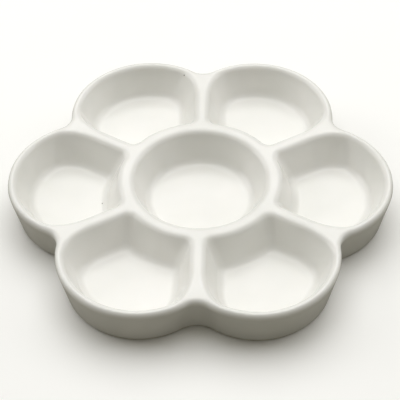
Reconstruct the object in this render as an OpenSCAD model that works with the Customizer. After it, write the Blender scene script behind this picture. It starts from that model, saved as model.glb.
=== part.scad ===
// Seven-well flower palette for mixing paint, in glazed porcelain.
//
// Six petal-shaped wells stand round a round centre well. The palette is one
// casting, so its separate solids are the fired clay body and the glaze fused
// onto it: a coat over the top and sides, and a pool under the base inside the
// bare foot that the palette stands on.
//
// Millimetres, +Z up. The origin is the centre of the foot, on the table.
// Petals point along +X and every 60 degrees after it.
//
// Every wall is a level set of one outline: going down, its arcs keep their
// centres and only their radii change. So each wall is a cone or a plane, and
// a thinner palette inside the glaze has the same centres too.

/* [Overall] */
// Width across two opposite petals
palette_width = 165; // [155:1:175]
// Height from the table to the top of the rim
palette_height = 20.4; // [19:0.2:21]

/* [Outline] */
// Radius of each petal, at the rim
petal_radius = 35; // [34:0.5:36]
// Radius of the hollow between two petals, at the rim
notch_radius = 4; // [3:0.5:6]
// How far the side wall leans in from rim to table
side_lean = 4.2; // [3:0.2:5]

/* [Wells] */
// Width of the outside wall where it meets the rim plane
wall_width = 3.4; // [3:0.1:4]
// Width of the six dividers at the rim plane
divider_width = 5.2; // [4.4:0.2:6]
// Radius of the centre well at the rim plane
centre_radius = 28.9; // [27:0.1:30]
// Width of the ring round the centre well at the rim plane
ring_width = 5.6; // [4:0.1:6]
// Slope of the well walls, in degrees from upright
well_slope = 24; // [18:1:24]
// Height of the well floors above the table
floor_height = 6.4; // [4.4:0.2:7]
// Radius between a well's floor and its walls
floor_fillet = 2.5; // [2:0.5:4]

/* [Rim] */
// Radius that rounds every edge of the rim
rim_round = 1.6; // [1.2:0.1:1.6]

/* [Foot] */
// Width of the foot that follows the outline under the palette
foot_width = 4; // [3:0.5:5]
// Height of the hollow inside the foot
foot_recess = 1.2; // [0.8:0.1:1.6]
// Height of clay left bare above the table
bare_height = 1.5; // [1:0.1:2]

/* [Glaze] */
// Thickness of the glaze
glaze_thickness = 0.3; // [0.2:0.05:0.4]

/* [Hidden] */

$fn = 144;
// Steps that stand in for the arc of each fillet and rounding, on a turned
// wall and on a straight one
turned_steps = 5;
straight_steps = 4;
// How much smaller those arcs are on a straight wall. Where it crosses a
// turned wall, no two of their steps then end on the same level.
straight_trim = 0.2;
// Overshoot of the cutting shapes past the surfaces they cut
over = 1;
// Half the angle that a petal covers, about its own centre: it reaches a
// little past the notches
petal_sweep = 75;

petals = 6;
pitch = 360 / petals;
// Distance from the centre of the palette to a petal's own centre
petal_centre = palette_width / 2 - petal_radius;
// Distance from the centre of the palette to the centre of a notch's arc
notch_centre = petal_centre * cos(pitch / 2)
    + sqrt(pow(petal_radius + notch_radius, 2) - pow(petal_centre * sin(pitch / 2), 2));
// Distance of the notch's deepest point from the centre, at the rim
notch_floor = notch_centre - notch_radius;

// Slope of the side wall, in degrees from upright
side_slope = atan(side_lean / palette_height);
// Radius of a petal well at the rim plane
well_radius = petal_radius - wall_width;
// Outer radius of the ring round the centre well at the rim plane
ring_radius = centre_radius + ring_width;

glaze_colour = [0.95, 0.94, 0.92];
clay_colour = [0.90, 0.87, 0.80];

// ---- Levels and walls. Each takes skin, the depth of the surface below the
// ---- finished glaze, so that 0 is the palette's own outside.

function rim_top(skin) = palette_height - skin;

function floor_top(skin) = floor_height - skin;

// Distance of the side wall at height z, where edge is its distance at the
// rim plane
function side_at(z, edge, skin) =
    edge - skin / cos(side_slope)
    - (palette_height - z) * tan(side_slope);

// Distance of a well's wall at height z, where edge is its distance at the
// rim plane and the well lies nearer than the wall
function well_at(z, edge, skin) =
    edge + skin / cos(well_slope)
    - (palette_height - z) * tan(well_slope);

// ---- Profiles, in a plane with the distance from an axis or a wall along X
// ---- and the height along Y.

function arc_points(centre, radius, from, to, steps) = [
    for (i = [0 : steps])
        let (turn = from + (to - from) * i / steps)
        centre + radius * [cos(turn), sin(turn)]
];

function arc_steps(straight) = straight ? straight_steps : turned_steps;

function rim_radius(skin, straight) =
    rim_round - skin - (straight ? straight_trim : 0);

function fillet_radius(skin, straight) =
    floor_fillet + skin - (straight ? straight_trim : 0);

// A solid outside from its middle to the side wall, with the rounding at the
// rim
module side_profile(edge, skin, straight) {
    top = rim_top(skin);
    rounding = rim_radius(skin, straight);
    level = top - rounding;
    centre = [
        side_at(level, edge, skin) - rounding / cos(side_slope),
        level
    ];
    polygon(concat(
        [[0, 0], [side_at(0, edge, skin), 0]],
        arc_points(centre, rounding, -side_slope, 90, arc_steps(straight)),
        [[0, top]]
    ));
}

// The space in a well from its middle to a wall whose distance at the rim
// plane is edge, with the fillet at the floor and the rounding at the rim
module well_profile(edge, skin, straight) {
    low = floor_top(skin);
    fillet = fillet_radius(skin, straight);
    low_centre = [
        well_at(low + fillet, edge, skin) - fillet / cos(well_slope),
        low + fillet
    ];
    top = rim_top(skin);
    rounding = rim_radius(skin, straight);
    top_centre = [
        well_at(top - rounding, edge, skin) + rounding / cos(well_slope),
        top - rounding
    ];
    steps = arc_steps(straight);
    polygon(concat(
        [[0, low]],
        arc_points(low_centre, fillet, -90, -well_slope, steps),
        arc_points(top_centre, rounding, 180 - well_slope, 90, steps),
        [[top_centre.x, top + over], [0, top + over]]
    ));
}

// ---- Solids

module at_petals() {
    for (i = [0 : petals - 1])
        rotate(i * pitch) children();
}

// A solid over the lobed outline: six petals on a core with six sides, which
// closes the notches between them. Its first child is the profile from a
// petal's axis out, and its second is the profile from the centre to a notch.
module lobed_solid() {
    at_petals()
        translate([petal_centre, 0])
        rotate(-petal_sweep)
        rotate_extrude(angle = 2 * petal_sweep) children(0);
    intersection_for(i = [0 : petals / 2 - 1]) {
        rotate((i + 0.5) * pitch)
            translate([0, palette_width / 2])
            rotate([90, 0, 0])
            linear_extrude(palette_width) {
                children(1);
                mirror([1, 0]) children(1);
            }
    }
}

// The centre well
module centre_space(skin) {
    rotate_extrude() well_profile(centre_radius, skin, straight = false);
}

// Everything in the wells outside the ring round the centre well
module outside_ring(skin) {
    reach = palette_width;
    rotate_extrude()
        translate([reach, 0]) mirror([1, 0])
        well_profile(reach - ring_radius, skin, straight = false);
}

// Everything on the petal's side of the divider at 30 degrees
module beside_divider(skin) {
    reach = palette_width;
    rotate(pitch / 2)
        translate([0, -reach, 0])
        rotate([90, 0, 90])
        linear_extrude(reach)
        well_profile(reach - divider_width / 2, skin, straight = true);
}

// One petal well, on +X
module petal_space(skin) {
    intersection() {
        translate([petal_centre, 0])
            rotate_extrude() well_profile(well_radius, skin, straight = false);
        outside_ring(skin);
        beside_divider(skin);
        mirror([0, 1, 0]) beside_divider(skin);
    }
}

// The whole palette, with its surfaces skin deep below the finished glaze
module palette_solid(skin) {
    difference() {
        lobed_solid() {
            side_profile(petal_radius, skin, straight = false);
            side_profile(notch_floor, skin, straight = true);
        }
        centre_space(skin);
        at_petals() petal_space(skin);
    }
}

// A flat lobed slab whose edge stands inset from the foot's outer edge
module lobed_slab(inset, height) {
    notch_edge = side_at(0, notch_floor, glaze_thickness) - inset;
    linear_extrude(height) {
        circle(r = notch_edge / cos(180 / petals), $fn = petals);
        at_petals()
            translate([petal_centre, 0])
            circle(side_at(0, petal_radius, glaze_thickness) - inset);
    }
}

// ---- Sub-parts

module porcelain_body() {
    color(clay_colour)
    difference() {
        palette_solid(glaze_thickness);
        translate([0, 0, -over])
            lobed_slab(foot_width, foot_recess + over);
    }
}

module glaze_coat() {
    color(glaze_colour)
    difference() {
        palette_solid(0);
        palette_solid(glaze_thickness);
        translate([0, 0, -over])
            cylinder(h = bare_height + over, r = palette_width);
    }
}

module underside_glaze() {
    color(glaze_colour)
    translate([0, 0, foot_recess - glaze_thickness])
        lobed_slab(foot_width + 2 * glaze_thickness, glaze_thickness);
}

porcelain_body();
glaze_coat();
underside_glaze();
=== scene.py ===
"""A flower-shaped porcelain mixing palette: its glaze, its clay and a plain studio.

The glaze is meshed here from one distance function, so that the rims, the
webs between the wells and the notches run into each other as slip-cast
porcelain does. The clay under it is meshed from the same function, a glaze's
thickness deeper, with the foot that the palette stands on.
"""

import math

import bmesh
import bpy
import numpy as np
from mathutils import Matrix, Vector


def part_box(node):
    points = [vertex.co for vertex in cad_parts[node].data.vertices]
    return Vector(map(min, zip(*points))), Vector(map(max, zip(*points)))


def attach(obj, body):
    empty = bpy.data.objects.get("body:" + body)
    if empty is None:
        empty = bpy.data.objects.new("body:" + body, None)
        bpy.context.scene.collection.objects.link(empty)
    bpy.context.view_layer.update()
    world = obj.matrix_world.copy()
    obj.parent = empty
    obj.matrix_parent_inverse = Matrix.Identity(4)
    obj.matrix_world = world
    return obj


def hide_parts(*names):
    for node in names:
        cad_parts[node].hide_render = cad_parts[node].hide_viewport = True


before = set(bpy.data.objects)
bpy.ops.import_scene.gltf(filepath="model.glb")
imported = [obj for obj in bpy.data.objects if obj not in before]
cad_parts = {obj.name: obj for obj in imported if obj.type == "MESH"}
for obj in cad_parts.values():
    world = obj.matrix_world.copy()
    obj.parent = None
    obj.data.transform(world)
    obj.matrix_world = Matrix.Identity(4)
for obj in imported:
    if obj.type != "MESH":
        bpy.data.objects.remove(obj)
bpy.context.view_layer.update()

MM = 0.001

# ---------------------------------------------------------------- the design
# The overall sizes come from the frame, and the rest are the design's own.

glaze_low, glaze_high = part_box("glaze_coat")
pool_low, pool_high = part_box("underside_glaze")

HEIGHT = glaze_high.z
BARE = glaze_low.z
RECESS = pool_high.z
GLAZE = pool_high.z - pool_low.z

PETALS = 6
PETAL_RADIUS = 35 * MM
NOTCH_RADIUS = 5 * MM
SIDE_LEAN = 4.2 * MM
WALL_WIDTH = 3.4 * MM
DIVIDER_HALF = 2.6 * MM
CENTRE_RADIUS = 28.9 * MM
RING_RADIUS = 34.5 * MM
WELL_SLOPE = math.radians(24)
FLOOR = 6.4 * MM
FLOOR_FILLET = 2.5 * MM
OUTER_CORNER = 7 * MM
INNER_CORNER = 3 * MM
RIM_ROUND = 1.8 * MM
SIDE_ROUND = 3.0 * MM
FOOT_WIDTH = 4 * MM
FOOT_ROUND = 0.5 * MM

# The rounded edges bulge a little past true arcs, so the sides are drawn in
# by this much to stay inside the CAD model's box.
INSET = 0.15 * MM

SIDE_SLOPE = math.atan2(SIDE_LEAN, HEIGHT)
RIM_LOSS = SIDE_ROUND * (math.tan(SIDE_SLOPE) + 1 / math.cos(SIDE_SLOPE) - 1)
WIDTH = glaze_high.x - glaze_low.x + 2 * (RIM_LOSS - INSET)
PETAL_CENTRE = WIDTH / 2 - PETAL_RADIUS
WELL_RADIUS = PETAL_RADIUS - WALL_WIDTH
HALF_PITCH = math.pi / PETALS

# ------------------------------------------------------- distance functions
# Each takes points as an array of rows, and gives a distance that is
# negative inside the solid or inside the space.


def meet(distances, radius):
    """The space inside all of several, with a rounded edge where they meet."""
    hard = np.max(distances, axis=0)
    over = [np.maximum(d + radius, 0) ** 2 for d in distances]
    return np.minimum(hard, -radius) + np.sqrt(sum(over))


def join(distances, radius):
    """The space inside any of several, with a fillet where they join."""
    return -meet([-d for d in distances], radius)


def fold(points):
    """Points turned and mirrored into the half petal beside +X."""
    turn = np.arctan2(points[:, 1], points[:, 0])
    turn = np.abs((turn + HALF_PITCH) % (2 * HALF_PITCH) - HALF_PITCH)
    reach = np.hypot(points[:, 0], points[:, 1])
    return reach * np.cos(turn), reach * np.sin(turn), points[:, 2]


def petal_distance(x, y, turn):
    """How far a point lies from the axis of the petal at an angle."""
    return np.hypot(
        x - PETAL_CENTRE * math.cos(turn),
        y - PETAL_CENTRE * math.sin(turn),
    )


def outline(x, y, depth, inset=0.0):
    """The lobed outline at a depth under the rim, with its smooth notches."""
    lean = depth * math.tan(SIDE_SLOPE) + inset
    own, other = (
        petal_distance(x, y, turn) - (PETAL_RADIUS - lean)
        for turn in (0, 2 * HALF_PITCH)
    )
    core = np.hypot(x, y) - RING_RADIUS
    return join([own, other, core], NOTCH_RADIUS + lean)


def petal_well(x, y, z):
    """The space in a petal's well: side wall, divider, ring and floor."""
    fall = (HEIGHT - z) * math.tan(WELL_SLOPE)
    square = math.cos(WELL_SLOPE)
    from_divider = x * math.sin(HALF_PITCH) - y * math.cos(HALF_PITCH)
    side = (petal_distance(x, y, 0) - (WELL_RADIUS - fall)) * square
    divider = (DIVIDER_HALF + fall - from_divider) * square
    ring = (RING_RADIUS + fall - np.hypot(x, y)) * square
    walls = meet([meet([side, divider], OUTER_CORNER), ring], INNER_CORNER)
    return meet([walls, FLOOR - z], FLOOR_FILLET)


def centre_well(x, y, z):
    """The space in the round well in the middle."""
    fall = (HEIGHT - z) * math.tan(WELL_SLOPE)
    wall = (np.hypot(x, y) - (CENTRE_RADIUS - fall)) * math.cos(WELL_SLOPE)
    return meet([wall, FLOOR - z], FLOOR_FILLET)


def palette(points):
    """The glazed palette, which runs on downwards past its foot."""
    x, y, z = fold(points)
    side = outline(x, y, HEIGHT - z) * math.cos(SIDE_SLOPE)
    block = meet([side, z - HEIGHT], SIDE_ROUND)
    return meet(
        [block, -petal_well(x, y, z), -centre_well(x, y, z)],
        RIM_ROUND,
    )


def clay(points):
    """The clay inside the glaze, with its foot and the hollow inside it."""
    x, y, z = fold(points)
    hollow = meet(
        [outline(x, y, HEIGHT, inset=FOOT_WIDTH), z - RECESS],
        FOOT_ROUND,
    )
    return meet([palette(points) + GLAZE, -z, -hollow], FOOT_ROUND)


# ------------------------------------------------------------------ meshing

CELL = 1.1 * MM
MARGIN = 2 * CELL
PROBE = 0.01 * MM
SETTLING_STEPS = 4

# The top grid plane lies this far above the surface, and the others follow
# below it. A plane that grazed the top of a narrow rim would leave edges with
# four faces on them.
CLEAR = 0.3 * CELL

# Steps to the four cells around a grid edge, in order around it.
AROUND_EDGE = np.array([(-1, -1), (0, -1), (0, 0), (-1, 0)])


def slope_of(distance, points):
    """The unit direction in which a distance grows fastest, at each point."""
    columns = []
    for axis in np.eye(3) * PROBE:
        columns.append(distance(points + axis) - distance(points - axis))
    slope = np.stack(columns, axis=1)
    return slope / np.linalg.norm(slope, axis=1, keepdims=True)


def settle(distance, points):
    """Points moved onto the surface where a distance is zero."""
    for _ in range(SETTLING_STEPS):
        points = points - slope_of(distance, points) * distance(points)[:, None]
    return points


def shifted(array, axis, start, stop):
    """A view of part of an array along one axis."""
    part = [slice(None)] * array.ndim
    part[axis] = slice(start, stop)
    return array[tuple(part)]


def grid_box(bottom, top):
    """The low and high ends of a grid around the palette."""
    reach = WIDTH / 2 + MARGIN
    return (-reach, -reach, bottom - MARGIN), (reach, reach, top + CLEAR)


def crossings(grid, value, axis):
    """Where the surface crosses the grid edges that run along an axis.

    Gives the place of each crossing, the four cells around its edge, and
    whether the edge runs out of the solid there.
    """
    start = shifted(value, axis, None, -1)
    end = shifted(value, axis, 1, None)
    at = np.argwhere((start < 0) != (end < 0))
    first = tuple(at.T)
    share = start[first] / (start[first] - end[first])
    spot = shifted(grid, axis, None, -1)[first]
    spot[:, axis] += share * CELL
    sides = [(axis + 1) % 3, (axis + 2) % 3]
    around = np.repeat(at[:, None, :], len(AROUND_EDGE), axis=1)
    around[:, :, sides] += AROUND_EDGE
    return spot, around, start[first] < 0


def surface(distance, low, high):
    """Corners and four-sided faces of the surface where a distance is zero.

    Each cell that the surface crosses gets one corner, in the middle of its
    crossings, and each grid edge that the surface crosses gets one face.
    The grid is laid out from its high end, so that its top plane stays put.
    """
    ticks = [
        np.arange(end, start - CELL, -CELL)[::-1]
        for start, end in zip(low, high)
    ]
    grid = np.stack(np.meshgrid(*ticks, indexing="ij"), axis=-1)
    value = distance(grid.reshape(-1, 3)).reshape(grid.shape[:3])
    cells = tuple(n - 1 for n in value.shape)
    total = np.zeros(cells + (3,))
    count = np.zeros(cells, dtype=int)
    crossed = []
    for axis in range(3):
        spot, around, outward = crossings(grid, value, axis)
        inside = ((around >= 0) & (around < cells)).all(axis=2)
        for corner in range(len(AROUND_EDGE)):
            use = inside[:, corner]
            where = tuple(around[use, corner].T)
            np.add.at(total, where, spot[use])
            np.add.at(count, where, 1)
        whole = inside.all(axis=1)
        faces = around[whole]
        inward = ~outward[whole]
        faces[inward] = faces[inward][:, ::-1]
        crossed.append(faces)
    number = np.full(cells, -1)
    number[count > 0] = np.arange((count > 0).sum())
    corners = total[count > 0] / count[count > 0][:, None]
    faces = number[tuple(np.moveaxis(np.concatenate(crossed), 2, 0))]
    return settle(distance, corners), faces


def mesh_object(name, corners, faces, normals):
    """A smooth mesh object with its own normals."""
    mesh = bpy.data.meshes.new(name)
    mesh.from_pydata(corners.tolist(), [], [list(face) for face in faces])
    mesh.shade_smooth()
    mesh.normals_split_custom_set_from_vertices(normals.tolist())
    piece = bpy.data.objects.new(name, mesh)
    bpy.context.scene.collection.objects.link(piece)
    return piece


def open_at(corners, faces, level):
    """The part of a mesh above a level, with the edges of its open rim."""
    mesh = bpy.data.meshes.new("cut")
    mesh.from_pydata(corners.tolist(), [], faces.tolist())
    work = bmesh.new()
    work.from_mesh(mesh)
    bpy.data.meshes.remove(mesh)
    bmesh.ops.bisect_plane(
        work,
        geom=work.verts[:] + work.edges[:] + work.faces[:],
        plane_co=(0, 0, level),
        plane_no=(0, 0, 1),
        clear_inner=True,
    )
    work.verts.index_update()
    corners = np.array([v.co for v in work.verts])
    faces = [[v.index for v in f.verts] for f in work.faces]
    rim = [
        [loop.link_loop_next.vert.index, loop.vert.index]
        for edge in work.edges
        if edge.is_boundary
        for loop in edge.link_loops
    ]
    work.free()
    return corners, faces, rim


def glaze_piece():
    """The glaze: a closed shell from its outside in to the clay."""
    whole = surface(palette, *grid_box(BARE, HEIGHT))
    outside, faces, rim = open_at(*whole, BARE)
    normals = slope_of(palette, outside)
    inside = outside - normals * GLAZE
    level = outside[:, 2] <= BARE + PROBE
    inside[level, 2] = BARE
    shift = len(outside)
    inner = [[i + shift for i in reversed(face)] for face in faces]
    edge = [[a, b, b + shift, a + shift] for a, b in rim]
    return mesh_object(
        "glaze",
        np.concatenate([outside, inside]),
        faces + inner + edge,
        np.concatenate([normals, -normals]),
    )


def clay_piece():
    """The clay: one closed solid, from the foot up to just under the glaze."""
    corners, faces = surface(clay, *grid_box(0, HEIGHT - GLAZE))
    return mesh_object("clay_body", corners, faces, slope_of(clay, corners))


# ---------------------------------------------------------------- materials

GLAZE_WHITE = (0.86, 0.85, 0.815)
GLAZE_COOL = (0.81, 0.805, 0.765)
IRON_SPECK = (0.10, 0.08, 0.06)
CLAY_DARK = (0.66, 0.62, 0.54)
CLAY_PALE = (0.74, 0.70, 0.62)
CLAY_GRIT = (0.46, 0.41, 0.33)
FLOOR_DIM = (0.93, 0.93, 0.92)
FLOOR_BRIGHT = (0.95, 0.95, 0.94)
FLOOR_THROWN = (0.33, 0.32, 0.28)

# The share of a dot's radius that has its full colour.
SPECK_CORE = 0.5


class Paint:
    """A material's nodes, made and joined by name."""

    def __init__(self, name):
        self.material = bpy.data.materials.new(name)
        self.material.use_nodes = True
        self.tree = self.material.node_tree
        self.shader = self.tree.nodes["Principled BSDF"]
        self.place = self.add("ShaderNodeTexCoord").outputs["Object"]

    def add(self, kind, **settings):
        node = self.tree.nodes.new(kind)
        for name, value in settings.items():
            setattr(node, name, value)
        return node

    def join(self, output, socket):
        self.tree.links.new(output, socket)

    def fix(self, settings):
        """Numbers that are the same all over, set on the shader itself."""
        for name, value in settings.items():
            self.shader.inputs[name].default_value = value

    def noise(self, scale, detail=2.0, rough=0.5):
        node = self.add("ShaderNodeTexNoise")
        node.inputs["Scale"].default_value = scale
        node.inputs["Detail"].default_value = detail
        node.inputs["Roughness"].default_value = rough
        self.join(self.place, node.inputs["Vector"])
        return node.outputs["Fac"]

    def spread(self, value, low, high, to_low=0.0, to_high=1.0):
        """A value's range from low to high, stretched to another range."""
        node = self.add("ShaderNodeMapRange")
        self.join(value, node.inputs["Value"])
        for name, number in (
            ("From Min", low),
            ("From Max", high),
            ("To Min", to_low),
            ("To Max", to_high),
        ):
            node.inputs[name].default_value = number
        return node.outputs["Result"]

    def blend(self, share, first, second):
        """A mix of two colours, each a fixed colour or another output."""
        node = self.add("ShaderNodeMix", data_type="RGBA")
        self.join(share, node.inputs["Factor"])
        for name, colour in (("A", first), ("B", second)):
            socket = next(
                end
                for end in node.inputs
                if end.name == name and end.type == "RGBA"
            )
            if isinstance(colour, tuple):
                socket.default_value = (*colour, 1)
            else:
                self.join(colour, socket)
        return next(end for end in node.outputs if end.type == "RGBA")

    def bump(self, height, distance, under=None):
        node = self.add("ShaderNodeBump")
        node.inputs["Distance"].default_value = distance
        self.join(height, node.inputs["Height"])
        if under is not None:
            self.join(under, node.inputs["Normal"])
        return node.outputs["Normal"]

    def specks(self, scale, size, kept):
        """Small dots with soft edges, in some cells of a scattered pattern."""
        node = self.add("ShaderNodeTexVoronoi")
        node.inputs["Scale"].default_value = scale
        self.join(self.place, node.inputs["Vector"])
        near = self.spread(node.outputs["Distance"], size, size * SPECK_CORE)
        chance = self.add("ShaderNodeSeparateColor")
        self.join(node.outputs["Color"], chance.inputs["Color"])
        chosen = self.add("ShaderNodeMath", operation="LESS_THAN")
        self.join(chance.outputs["Red"], chosen.inputs[0])
        chosen.inputs[1].default_value = kept
        both = self.add("ShaderNodeMath", operation="MULTIPLY")
        self.join(near, both.inputs[0])
        self.join(chosen.outputs[0], both.inputs[1])
        return both.outputs[0]


def glaze_material():
    """White glaze: glossy, a little uneven, with a few specks of iron."""
    paint = Paint("white_glaze")
    shader = paint.shader
    cloud = paint.spread(paint.noise(scale=35), low=0.35, high=0.65)
    body = paint.blend(cloud, GLAZE_WHITE, GLAZE_COOL)
    speck = paint.specks(scale=90, size=0.035, kept=0.25)
    colour = paint.blend(speck, body, IRON_SPECK)
    paint.join(colour, shader.inputs["Base Color"])
    patch = paint.noise(scale=60, detail=4)
    polish = paint.spread(patch, low=0.3, high=0.7, to_low=0.16, to_high=0.24)
    paint.join(polish, shader.inputs["Roughness"])
    wave = paint.bump(paint.noise(scale=45, detail=1), distance=0.25 * MM)
    fine = paint.noise(scale=420, detail=2)
    ripple = paint.bump(fine, distance=0.015 * MM, under=wave)
    paint.join(ripple, shader.inputs["Normal"])
    paint.fix({
        "IOR": 1.5,
        "Subsurface Weight": 0.15,
        "Subsurface Radius": (1.0, 0.9, 0.75),
        "Subsurface Scale": 1.5 * MM,
    })
    return paint.material


def clay_material():
    """Bare fired clay: matt and sandy, with a cloudy colour and dark grit."""
    paint = Paint("bare_clay")
    shader = paint.shader
    cloud = paint.spread(paint.noise(scale=80, detail=5), low=0.3, high=0.7)
    body = paint.blend(cloud, CLAY_DARK, CLAY_PALE)
    grit = paint.specks(scale=700, size=0.25, kept=0.15)
    colour = paint.blend(grit, body, CLAY_GRIT)
    paint.join(colour, shader.inputs["Base Color"])
    patch = paint.noise(scale=300, detail=3)
    matt = paint.spread(patch, low=0.3, high=0.7, to_low=0.7, to_high=0.9)
    paint.join(matt, shader.inputs["Roughness"])
    sand = paint.noise(scale=1500, detail=4, rough=0.7)
    paint.join(paint.bump(sand, distance=0.06 * MM), shader.inputs["Normal"])
    return paint.material


def floor_material():
    """A plain pale studio floor that lights the palette like a darker table.

    The floor is near white where the camera sees it, but throws back only a
    warm grey, which darkens the outside of the palette. A real white floor
    would not do that.
    """
    paint = Paint("studio_floor")
    shader = paint.shader
    cloud = paint.spread(paint.noise(scale=6), low=0.3, high=0.7)
    seen = paint.blend(cloud, FLOOR_DIM, FLOOR_BRIGHT)
    camera = paint.add("ShaderNodeLightPath").outputs["Is Camera Ray"]
    colour = paint.blend(camera, FLOOR_THROWN, seen)
    paint.join(colour, shader.inputs["Base Color"])
    paint.fix({"Roughness": 0.9, "Specular IOR Level": 0.0})
    return paint.material


# ------------------------------------------------------------------- pieces

glaze = glaze_piece()
clay_body = clay_piece()
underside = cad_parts["underside_glaze"]

white_glaze = glaze_material()
bare_clay = clay_material()
glaze.data.materials.append(white_glaze)
clay_body.data.materials.append(bare_clay)
for place in underside.material_slots:
    place.material = white_glaze

for piece, node, slot in (
    (glaze, "glaze_coat", "glaze"),
    (clay_body, "porcelain_body", "clay"),
):
    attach(piece, "root")
    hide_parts(node)

# ------------------------------------------------------------------- studio
# Places and sizes are in metres, powers in watts, and the lens in mm.

FLOOR_SIZE = 6.0
FLOOR_DROP = 0.05 * MM

LIGHTS = (
    {"name": "key", "place": (0, 0.45, 1.2), "size": 1.5, "power": 16.4},
    {"name": "left", "place": (-1.1, 0.35, 0.6), "size": 0.8, "power": 3.6},
    {"name": "right", "place": (1.1, 0.35, 0.6), "size": 0.8, "power": 2.7},
)

CAMERA_AZIMUTH = math.radians(1.8)
CAMERA_ELEVATION = math.radians(45.25)
CAMERA_ROLL = math.radians(-0.9)
CAMERA_DISTANCE = 0.598
CAMERA_LENS = 126.4
CAMERA_SENSOR = 36
CAMERA_SHIFT = -0.057

SKY_COLOUR = (1, 0.96, 0.82, 1)
SKY_STRENGTH = 0.24


def studio_floor():
    """A wide flat floor, a hair under the foot so that the two never coincide."""
    work = bmesh.new()
    half = FLOOR_SIZE / 2
    corners = [(-half, -half), (half, -half), (half, half), (-half, half)]
    work.faces.new([work.verts.new((x, y, -FLOOR_DROP)) for x, y in corners])
    mesh = bpy.data.meshes.new("studio_floor")
    work.to_mesh(mesh)
    work.free()
    piece = bpy.data.objects.new("studio_floor", mesh)
    bpy.context.scene.collection.objects.link(piece)
    piece.data.materials.append(floor_material())


def soft_light(name, place, size, power):
    """A square soft light that faces the palette."""
    lamp = bpy.data.lights.new(name, "AREA")
    lamp.size = size
    lamp.energy = power
    light = bpy.data.objects.new(name, lamp)
    light.location = place
    light.rotation_mode = "QUATERNION"
    light.rotation_quaternion = (-Vector(place)).to_track_quat("-Z", "Y")
    bpy.context.scene.collection.objects.link(light)


def studio_camera():
    """A long lens, looking down at the front of the palette."""
    back = Vector((
        math.sin(CAMERA_AZIMUTH) * math.cos(CAMERA_ELEVATION),
        -math.cos(CAMERA_AZIMUTH) * math.cos(CAMERA_ELEVATION),
        math.sin(CAMERA_ELEVATION),
    ))
    data = bpy.data.cameras.new("camera")
    data.lens = CAMERA_LENS
    data.sensor_width = CAMERA_SENSOR
    data.shift_y = CAMERA_SHIFT
    camera = bpy.data.objects.new("camera", data)
    facing = (-back).to_track_quat("-Z", "Y").to_matrix()
    aim = facing @ Matrix.Rotation(CAMERA_ROLL, 3, "Z")
    stand = Vector((0, 0, HEIGHT)) + back * CAMERA_DISTANCE
    camera.matrix_world = Matrix.Translation(stand) @ aim.to_4x4()
    bpy.context.scene.collection.objects.link(camera)
    bpy.context.scene.camera = camera


def studio_sky():
    """An even, slightly warm light from all round."""
    world = bpy.data.worlds.new("studio")
    world.use_nodes = True
    background = world.node_tree.nodes["Background"]
    background.inputs["Color"].default_value = SKY_COLOUR
    background.inputs["Strength"].default_value = SKY_STRENGTH
    bpy.context.scene.world = world


studio_floor()
for light in LIGHTS:
    soft_light(**light)
studio_camera()
studio_sky()
bpy.context.scene.view_settings.view_transform = "Standard"
